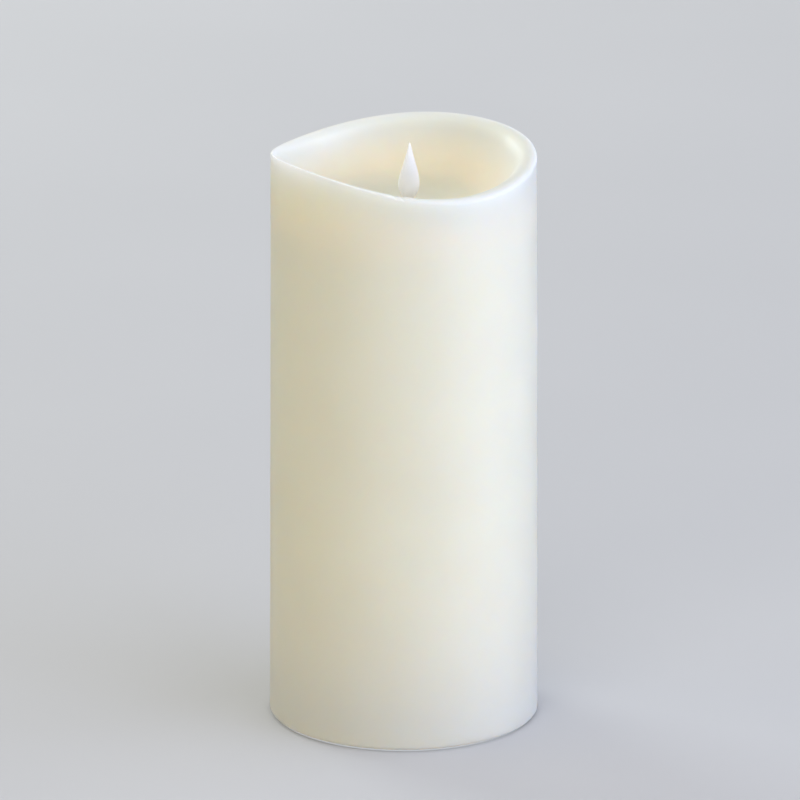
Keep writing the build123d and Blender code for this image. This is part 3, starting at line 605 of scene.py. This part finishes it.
class Paint:
    """One node material: a principled surface and the few node chains it needs."""

    def __init__(self, name, color, roughness=0.5, metallic=0.0):
        self.material = bpy.data.materials.new(name)
        self.material.use_nodes = True
        self.tree = self.material.node_tree
        self.surface = self.tree.nodes["Principled BSDF"]
        self.place = self.node("ShaderNodeTexCoord").outputs["Object"]
        self.set(Roughness=roughness, Metallic=metallic)
        self.surface.inputs["Base Color"].default_value = (*color, 1.0)
        self.bump_last = None

    def node(self, kind, **inputs):
        made = self.tree.nodes.new(kind)
        for key, value in inputs.items():
            made.inputs[key.replace("_", " ")].default_value = value
        return made

    def link(self, start, end):
        self.tree.links.new(start, end)

    def set(self, **values):
        for key, value in values.items():
            self.surface.inputs[key.replace("_", " ")].default_value = value

    def noise(self, per_mm, detail=3.0, roughness=0.5, stretch=(1, 1, 1)):
        """A noise factor with about per_mm features in each millimetre."""
        mapping = self.node("ShaderNodeMapping")
        mapping.inputs["Scale"].default_value = [s * per_mm / MM for s in stretch]
        self.link(self.place, mapping.inputs["Vector"])
        texture = self.node("ShaderNodeTexNoise", Scale=1.0, Detail=detail, Roughness=roughness)
        self.link(mapping.outputs["Vector"], texture.inputs["Vector"])
        return texture.outputs["Fac"]

    def ramp(self, factor, low, high, start=0.35, end=0.65):
        """A colour that goes from low to high as a factor rises."""
        ramp = self.node("ShaderNodeValToRGB")
        ramp.color_ramp.elements[0].position = start
        ramp.color_ramp.elements[1].position = end
        ramp.color_ramp.elements[0].color = (*low, 1.0)
        ramp.color_ramp.elements[1].color = (*high, 1.0)
        self.link(factor, ramp.inputs["Fac"])
        return ramp.outputs["Color"]

    def spread(self, factor, low, high, start=0.0, end=1.0):
        """A number that goes from low to high as a factor goes from start to end."""
        spread = self.node("ShaderNodeMapRange")
        for key, value in zip(("From Min", "From Max", "To Min", "To Max"), (start, end, low, high)):
            spread.inputs[key].default_value = value
        self.link(factor, spread.inputs["Value"])
        return spread.outputs["Result"]

    def math(self, kind, first, second):
        """One sum on two factors or numbers."""
        made = self.node("ShaderNodeMath")
        made.operation = kind
        for socket, value in zip(made.inputs, (first, second)):
            if isinstance(value, (int, float)):
                socket.default_value = value
            else:
                self.link(value, socket)
        return made.outputs["Value"]

    def mix(self, factor, first, second):
        """A colour between two colours."""
        made = self.node("ShaderNodeMix")
        made.data_type = "RGBA"
        sockets = [made.inputs[0], made.inputs[6], made.inputs[7]]
        for socket, value in zip(sockets, (factor, first, second)):
            if isinstance(value, (int, float)):
                socket.default_value = value
            elif isinstance(value, tuple):
                socket.default_value = (*value, 1.0)
            else:
                self.link(value, socket)
        return made.outputs[2]

    def between(self, value, low, high):
        """1 where a value is between two numbers, and 0 elsewhere."""
        above = self.math("GREATER_THAN", value, low)
        return self.math("MULTIPLY", above, self.math("LESS_THAN", value, high))

    def outside(self, value, low, high):
        """1 where a value is under one number or over the other, and 0 between them."""
        under = self.math("LESS_THAN", value, low)
        return self.math("MAXIMUM", under, self.math("GREATER_THAN", value, high))

    def bump(self, factor, depth_mm, strength=1.0):
        """Adds relief of a given depth from a factor."""
        bump = self.node("ShaderNodeBump", Strength=strength, Distance=depth_mm * MM)
        self.link(factor, bump.inputs["Height"])
        if self.bump_last:
            self.link(self.bump_last, bump.inputs["Normal"])
        self.bump_last = bump.outputs["Normal"]
        self.link(self.bump_last, self.surface.inputs["Normal"])

    def color(self, source):
        self.link(source, self.surface.inputs["Base Color"])

    def rough(self, source):
        self.link(source, self.surface.inputs["Roughness"])

    def stored(self, name):
        """A value that the mesh carries at each point."""
        attribute = self.node("ShaderNodeAttribute")
        attribute.attribute_name = name
        return attribute.outputs["Fac"]

    def axis(self, index):
        """One coordinate of the place, in millimetres."""
        split = self.node("ShaderNodeSeparateXYZ")
        self.link(self.place, split.inputs["Vector"])
        return self.math("MULTIPLY", split.outputs[index], 1 / MM)


def shade(color, share):
    """A colour made darker or lighter by a share."""
    return tuple(min(1.0, c * share) for c in color)


def wax():
    """Ivory wax: deep soft glow, a dull skin and a few pinholes; painted light at the lip and deep in
    the bowl, painted shade on the inner rim, crest and foot.
    """
    paint = Paint("ivory_wax", WAX_COLOR)
    cloud = paint.noise(0.03, detail=2.0)
    body = paint.ramp(cloud, shade(WAX_COLOR, 0.985), shade(WAX_COLOR, 1.015), *BAND)
    pool = paint.stored("pool")
    near_rim = paint.stored("rim_nearness")
    # Painted warm light, stronger the deeper into the bowl
    with_pool_light = paint.mix(pool, body, POOL_PAINTED_LIGHT)
    # Painted light and shade near the rim: a cool lip tone, painted shade on the inner rim wall and
    # along the crest
    edge = paint.mix(paint.spread(pool, 0.0, 1.0, 0.0, 0.35), LIP_PAINTED_LIGHT, RIM_PAINTED_SHADE)
    edge = paint.mix(paint.spread(near_rim, 0.0, 0.3, 0.87, 1.0), edge, CREST_PAINTED_SHADE)
    with_rim_light_and_shade = paint.mix(near_rim, with_pool_light, edge)
    # Painted shade towards the foot
    paint.color(paint.mix(paint.stored("foot"), with_rim_light_and_shade, FOOT_PAINTED_SHADE))
    # Roughness of the skin, then what the melted bowl and the crest add to it
    skin = paint.spread(paint.noise(0.12, detail=4.0), 0.42, 0.52, *BAND)
    dull = paint.math("ADD", skin, paint.spread(pool, -0.06, 0.22, 0.2, 0.8))
    paint.rough(paint.math("ADD", dull, paint.spread(near_rim, 0.0, 0.35, 0.86, 0.98)))
    paint.set(Subsurface_Weight=1.0, Subsurface_Scale=WAX_DEPTH, Subsurface_Anisotropy=0.3)
    paint.surface.inputs["Subsurface Radius"].default_value = WAX_SPREAD
    paint.set(Specular_IOR_Level=1.0, IOR=1.44, Sheen_Weight=0.1, Sheen_Roughness=0.5)
    paint.bump(paint.noise(0.35, detail=5.0, roughness=0.6), 0.05, 0.5)
    cells = paint.node("ShaderNodeTexVoronoi", Scale=PINHOLES_PER_METRE)
    paint.link(paint.place, cells.inputs["Vector"])
    hole = paint.spread(cells.outputs["Distance"], 0.0, 1.0, 0.008, 0.016)
    # The bowl has melted smooth, so the pinholes stop at its edge
    hole = paint.math("MAXIMUM", hole, paint.spread(pool, 0.0, 1.0, 0.0, 0.05))
    paint.bump(hole, 0.25)
    return paint.material


def flame_plastic():
    """Satin, milky flame moulding, with painted shade darkening it a little towards its tip."""
    paint = Paint("flame_plastic", FLAME_COLOR)
    tint = paint.noise(0.15, detail=2.0)
    body = paint.ramp(tint, shade(FLAME_COLOR, 0.98), shade(FLAME_COLOR, 1.02), *BAND)
    # Painted shade, growing towards the tip
    toward_tip = paint.spread(paint.axis(2), 0.0, 1.0, FLAME_TIP - FLAME_SOLE, FLAME_TIP - FLAME_TIP_FADE)
    paint.color(paint.mix(toward_tip, body, shade(FLAME_COLOR, FLAME_TIP_SHADE)))
    paint.rough(paint.spread(paint.noise(0.6), 0.3, 0.4, *BAND))
    paint.set(Subsurface_Weight=1.0, Subsurface_Scale=FLAME_DEPTH)
    paint.surface.inputs["Subsurface Radius"].default_value = FLAME_SPREAD
    paint.bump(paint.noise(1.5, detail=3.0), 0.01, 0.5)
    return paint.material


def moulded(name, color, roughness=0.5, grain=2.2, depth=0.02):
    """Moulded plastic: a spark-eroded grain and faint flow marks."""
    paint = Paint(name, color)
    flow = paint.noise(0.08, detail=2.0, stretch=(1, 1, 0.3))
    paint.color(paint.ramp(flow, shade(color, 0.94), shade(color, 1.05), *BAND))
    paint.rough(paint.spread(paint.noise(0.5), roughness - 0.07, roughness + 0.07, *BAND))
    paint.bump(paint.noise(grain, detail=4.0, roughness=0.65), depth, 0.8)
    return paint.material


def metal(name, color, roughness=0.28, stretch=(1, 1, 12), coarse=3.0):
    """Plated or drawn metal: fine scratches that can run one way, and dull patches."""
    paint = Paint(name, color, metallic=1.0)
    patch = paint.noise(0.4, detail=3.0)
    paint.color(paint.ramp(patch, shade(color, 0.88), shade(color, 1.06), *BAND))
    scratch = paint.noise(coarse, detail=4.0, stretch=stretch)
    paint.rough(paint.spread(scratch, roughness - 0.1, roughness + 0.12, *BAND))
    paint.bump(scratch, 0.006, 0.6)
    return paint.material


def winding():
    """Enamelled copper wire, wound in close turns, with painted shade in the grooves between them."""
    color = (0.62, 0.24, 0.09)
    paint = Paint("copper", color, roughness=0.25, metallic=1.0)
    turns = paint.node("ShaderNodeTexWave", Scale=1.0, Distortion=0.4)
    turns.bands_direction = "Z"
    mapping = paint.node("ShaderNodeMapping")
    mapping.inputs["Scale"].default_value = [1.0, 1.0, 0.62 / MM]
    paint.link(paint.place, mapping.inputs["Vector"])
    paint.link(mapping.outputs["Vector"], turns.inputs["Vector"])
    # Painted shade in the grooves between the turns
    paint.color(paint.ramp(turns.outputs["Fac"], shade(color, 0.35), shade(color, 1.15), 0.1, 0.7))
    paint.bump(turns.outputs["Fac"], 0.08)
    return paint.material


def board():
    """Green solder mask with a faint grid of tracks showing through."""
    color = (0.015, 0.13, 0.05)
    paint = Paint("board", color)
    tracks = paint.node("ShaderNodeTexBrick", Scale=160.0, Mortar_Size=0.06)
    tracks.inputs["Color1"].default_value = (*color, 1.0)
    tracks.inputs["Color2"].default_value = (*shade(color, 1.12), 1.0)
    tracks.inputs["Mortar"].default_value = (*shade(color, 1.9), 1.0)
    paint.link(paint.place, tracks.inputs["Vector"])
    paint.color(tracks.outputs["Color"])
    paint.rough(paint.spread(paint.noise(0.8), 0.25, 0.4, *BAND))
    paint.bump(tracks.outputs["Fac"], 0.03)
    paint.set(Coat_Weight=0.3)
    return paint.material


def lamp_epoxy():
    """Clear warm-white lamp body, faintly clouded with yellow."""
    paint = Paint("lamp_epoxy", (0.95, 0.9, 0.72))
    haze = paint.noise(0.5, detail=2.0)
    paint.color(paint.ramp(haze, (0.9, 0.78, 0.4), (0.97, 0.94, 0.82), *BAND))
    paint.rough(paint.spread(haze, 0.05, 0.14, *BAND))
    paint.set(Transmission_Weight=0.55, IOR=1.5)
    return paint.material


def cell_jacket(name, node, nub_right):
    """A cell: plated ends, a dark sleeve and a bright band at the nub end."""
    low, high = (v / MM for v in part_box(node))
    paint = Paint(name, (0.03, 0.035, 0.045))
    nub = 1.3
    start, end = (low.x, high.x - nub) if nub_right else (high.x, low.x + nub)
    # Shares of the sleeve's length, from the flat end
    along = paint.spread(paint.axis(0), 0.0, 1.0, start, end)
    ends = paint.outside(along, 0.012, 0.988)
    band = paint.between(along, 0.72, 0.96)
    stripe = paint.between(along, 0.685, 0.705)
    dark = paint.ramp(paint.noise(0.3), (0.022, 0.026, 0.035), (0.035, 0.04, 0.05))
    sleeve = paint.mix(band, dark, (0.62, 0.42, 0.16))
    sleeve = paint.mix(stripe, sleeve, (0.75, 0.75, 0.75))
    paint.color(paint.mix(ends, sleeve, (0.68, 0.68, 0.7)))
    shine = paint.math("MAXIMUM", ends, paint.math("MULTIPLY", band, 0.7))
    paint.link(shine, paint.surface.inputs["Metallic"])
    paint.rough(paint.spread(paint.noise(1.2, detail=4.0), 0.2, 0.38, *BAND))
    paint.bump(paint.noise(0.8), 0.01, 0.5)
    return paint.material


def insulated(name, color):
    """Soft wire insulation, satin and lightly scuffed."""
    paint = Paint(name, color)
    scuff = paint.noise(0.6, detail=3.0)
    paint.color(paint.ramp(scuff, shade(color, 0.85), shade(color, 1.1), *BAND))
    paint.rough(paint.spread(scuff, 0.32, 0.5, *BAND))
    paint.bump(paint.noise(2.0), 0.01, 0.5)
    return paint.material


def sleeve():
    """Shrink sleeve on the capacitor, with a pale stripe for its negative side."""
    low, high = (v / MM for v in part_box("capacitor"))
    paint = Paint("sleeve", (0.02, 0.03, 0.1), roughness=0.3)
    stripe_width = 0.5
    rim = 0.12
    stripe = paint.math("GREATER_THAN", paint.axis(0), high.x - stripe_width)
    can_end = paint.math("LESS_THAN", paint.axis(2), low.z + rim)
    blue = paint.ramp(paint.noise(0.5), (0.016, 0.024, 0.08), (0.026, 0.04, 0.13))
    jacket = paint.mix(stripe, blue, (0.6, 0.62, 0.66))
    paint.color(paint.mix(can_end, jacket, (0.7, 0.7, 0.72)))
    paint.link(can_end, paint.surface.inputs["Metallic"])
    paint.bump(paint.noise(1.5), 0.01, 0.5)
    return paint.material


def chip_case():
    """Moulded chip: black body, tinned legs at its sides."""
    low, high = (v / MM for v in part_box("controller_chip"))
    paint = Paint("chip", (0.02, 0.02, 0.02))
    leg = 0.98
    legs = paint.outside(paint.axis(1), low.y + leg, high.y - leg)
    body = paint.ramp(paint.noise(1.5, detail=4.0), (0.014, 0.014, 0.014), (0.032, 0.032, 0.032))
    paint.color(paint.mix(legs, body, TIN))
    paint.link(legs, paint.surface.inputs["Metallic"])
    paint.rough(paint.spread(paint.noise(1.0), 0.45, 0.6, *BAND))
    paint.bump(paint.noise(3.0, detail=4.0), 0.01, 0.6)
    return paint.material


def chip_resistor():
    """Chip resistors: a dark face between tinned ends."""
    low, high = (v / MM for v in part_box("chip_resistors"))
    paint = Paint("resistor", (0.03, 0.03, 0.03), roughness=0.4)
    length = 2.0
    end = 0.35
    pitch = (high.x - low.x - length) / 2
    phase = paint.math("MODULO", paint.math("SUBTRACT", paint.axis(0), low.x), pitch)
    ends = paint.outside(phase, end, length - end)
    body = paint.ramp(paint.noise(2.0), (0.02, 0.02, 0.022), (0.04, 0.04, 0.045))
    paint.color(paint.mix(ends, body, (0.66, 0.66, 0.64)))
    paint.link(ends, paint.surface.inputs["Metallic"])
    paint.bump(paint.noise(3.0), 0.01, 0.5)
    return paint.material


def materials():
    """Every material slot of the record, by name."""
    return {
        "ivory_wax": wax(),
        "flame_plastic": flame_plastic(),
        "liner_plastic": moulded("liner_plastic", (0.74, 0.69, 0.56)),
        "base_plastic": moulded("base_plastic", (0.72, 0.67, 0.54), 0.48, 3.0, 0.03),
        "carrier_plastic": moulded("carrier_plastic", (0.022, 0.022, 0.024), 0.45),
        "spring_steel": metal("spring_steel", STEEL, 0.24),
        "wire_steel": metal("wire_steel", STEEL, 0.18, (1, 0.1, 1)),
        "magnet": metal("magnet", (0.7, 0.7, 0.71), 0.16, (1, 1, 1), 1.0),
        "screw_steel": metal("screw_steel", (0.5, 0.5, 0.52), 0.32, (1, 1, 1)),
        "copper": winding(),
        "bobbin_plastic": moulded("bobbin_plastic", (0.78, 0.78, 0.74), 0.42),
        "lamp_epoxy": lamp_epoxy(),
        "board": board(),
        "chip": chip_case(),
        "can": metal("can", (0.7, 0.7, 0.71), 0.22, (1, 6, 6)),
        "sleeve": sleeve(),
        "resistor": chip_resistor(),
        "switch_case": moulded("switch_case", (0.03, 0.03, 0.032), 0.42),
        "switch_knob": moulded("switch_knob", (0.04, 0.04, 0.042), 0.5, 4.0, 0.03),
        "red_lead": insulated("red_lead", (0.5, 0.02, 0.02)),
        "black_lead": insulated("black_lead", (0.02, 0.02, 0.02)),
        "white_lead": insulated("white_lead", (0.7, 0.7, 0.66)),
    }


def dress(piece, material):
    """Gives a piece one material."""
    piece.data.materials.clear()
    piece.data.materials.append(material)


def dress_frame(made):
    """Gives every CAD node its slot's material."""
    for row in frame["record"]["subparts"]:
        node, slot = row["node"], row["material_slot"]
        if slot == "cell_jacket":
            material = cell_jacket(node + "_jacket", node, node == "cell_front")
        else:
            material = made[slot]
        piece = frame["nodes"][node]
        dress(piece, material)
        shade_smooth(piece.data)


# Stage


def one_sided(name, color, bounce, fade_start, fade_end):
    """A matt floor that fades out far away, sends little light up and is clear from below."""
    paint = Paint(name, color, roughness=0.85)
    tone = paint.ramp(paint.noise(0.004, detail=2.0), shade(color, 0.985), shade(color, 1.01))
    path = paint.node("ShaderNodeLightPath")
    paint.color(paint.mix(path.outputs["Is Camera Ray"], bounce, tone))
    geometry = paint.node("ShaderNodeNewGeometry")
    clear = paint.node("ShaderNodeBsdfTransparent")
    reach = paint.node("ShaderNodeVectorMath")
    reach.operation = "LENGTH"
    paint.link(paint.place, reach.inputs[0])
    far = paint.spread(reach.outputs["Value"], 0.0, 1.0, fade_start, fade_end)
    hide = paint.math("MAXIMUM", geometry.outputs["Backfacing"], far)
    blend = paint.node("ShaderNodeMixShader")
    paint.link(hide, blend.inputs["Fac"])
    paint.link(paint.surface.outputs["BSDF"], blend.inputs[1])
    paint.link(clear.outputs["BSDF"], blend.inputs[2])
    paint.link(blend.outputs["Shader"], paint.tree.nodes["Material Output"].inputs["Surface"])
    return paint.material


def floor():
    """A wide pale floor, left open under the candle so that its underside can be lit."""
    count = 128
    points = []
    for radius in (FLOOR_HOLE, FLOOR_RADIUS):
        points += [turn(2 * math.pi * j / count, radius, 0.0) for j in range(count)]
    faces = [(j, count + j, count + (j + 1) % count, (j + 1) % count) for j in range(count)]
    mesh = bpy.data.meshes.new("floor")
    mesh.from_pydata(points, [], faces)
    piece = new_object("floor", mesh)
    piece.location.z = CAD_BOX[0].z
    fade_start, fade_end = (FLOOR_RADIUS * share for share in FLOOR_FADE)
    dress(piece, one_sided("floor_paint", FLOOR_COLOR, FLOOR_BOUNCE, fade_start, fade_end))


def sky():
    """Soft grey surroundings: one shade for the eye, another for the light."""
    world = bpy.data.worlds.new("studio")
    bpy.context.scene.world = world
    world.use_nodes = True
    tree = world.node_tree
    seen = tree.nodes["Background"]
    seen.inputs["Color"].default_value = (*WALL_COLOR, 1.0)
    seen.inputs["Strength"].default_value = 1.0
    fill = tree.nodes.new("ShaderNodeBackground")
    fill.inputs["Color"].default_value = (*FILL_COLOR, 1.0)
    fill.inputs["Strength"].default_value = FILL_STRENGTH
    path = tree.nodes.new("ShaderNodeLightPath")
    blend = tree.nodes.new("ShaderNodeMixShader")
    tree.links.new(path.outputs["Is Camera Ray"], blend.inputs["Fac"])
    tree.links.new(fill.outputs["Background"], blend.inputs[1])
    tree.links.new(seen.outputs["Background"], blend.inputs[2])
    tree.links.new(blend.outputs["Shader"], tree.nodes["World Output"].inputs["Surface"])


def soft_light(name, azimuth, elevation, distance, width, height, watts, color):
    """A soft box aimed at the middle of the candle; azimuth 0 is the front, 90 the right."""
    data = bpy.data.lights.new(name, "AREA")
    data.shape = "RECTANGLE"
    data.size = width
    data.size_y = height
    data.energy = watts
    data.color = color
    lamp = bpy.data.objects.new(name, data)
    bpy.context.scene.collection.objects.link(lamp)
    turn_angle, rise = math.radians(azimuth), math.radians(elevation)
    level = math.cos(rise)
    away = Vector((math.sin(turn_angle) * level, -math.cos(turn_angle) * level, math.sin(rise)))
    aim = Vector((0, 0, CAD_BOX[1].z * 0.5))
    lamp.location = aim + away * distance
    lamp.rotation_mode = "QUATERNION"
    lamp.rotation_quaternion = (-away).to_track_quat("-Z", "Y")


def camera():
    """A long lens from the front, a little above the rim."""
    data = bpy.data.cameras.new("camera")
    data.lens = LENS
    data.sensor_width = SENSOR
    seat = bpy.data.objects.new("camera", data)
    bpy.context.scene.collection.objects.link(seat)
    rise = math.radians(CAMERA_RISE)
    middle = CAD_BOX[1].z * CAMERA_MIDDLE
    back, up = CAMERA_DISTANCE * math.cos(rise), CAMERA_DISTANCE * math.sin(rise)
    seat.location = (0, -back, middle + up)
    aim = Vector((CAMERA_AIM_X * MM, 0, middle + CAMERA_AIM_UP * MM))
    seat.rotation_mode = "QUATERNION"
    seat.rotation_quaternion = (aim - seat.location).to_track_quat("-Z", "Y")
    data.clip_start = CLIP_NEAR
    data.clip_end = CLIP_FAR
    bpy.context.scene.camera = seat


def build():
    """Makes every piece, dresses the frame and lights the stage."""
    made = materials()
    dress_frame(made)
    pillar = wax_pillar()
    dress(pillar, made["ivory_wax"])
    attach(pillar, "core")
    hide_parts("wax_shell")
    blade = flame_piece()
    dress(blade, made["flame_plastic"])
    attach(blade, "flame")
    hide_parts("flame")
    floor()
    sky()
    for light in LIGHTS:
        soft_light(*light)
    camera()
    bpy.context.scene.view_settings.view_transform = "Standard"


build()
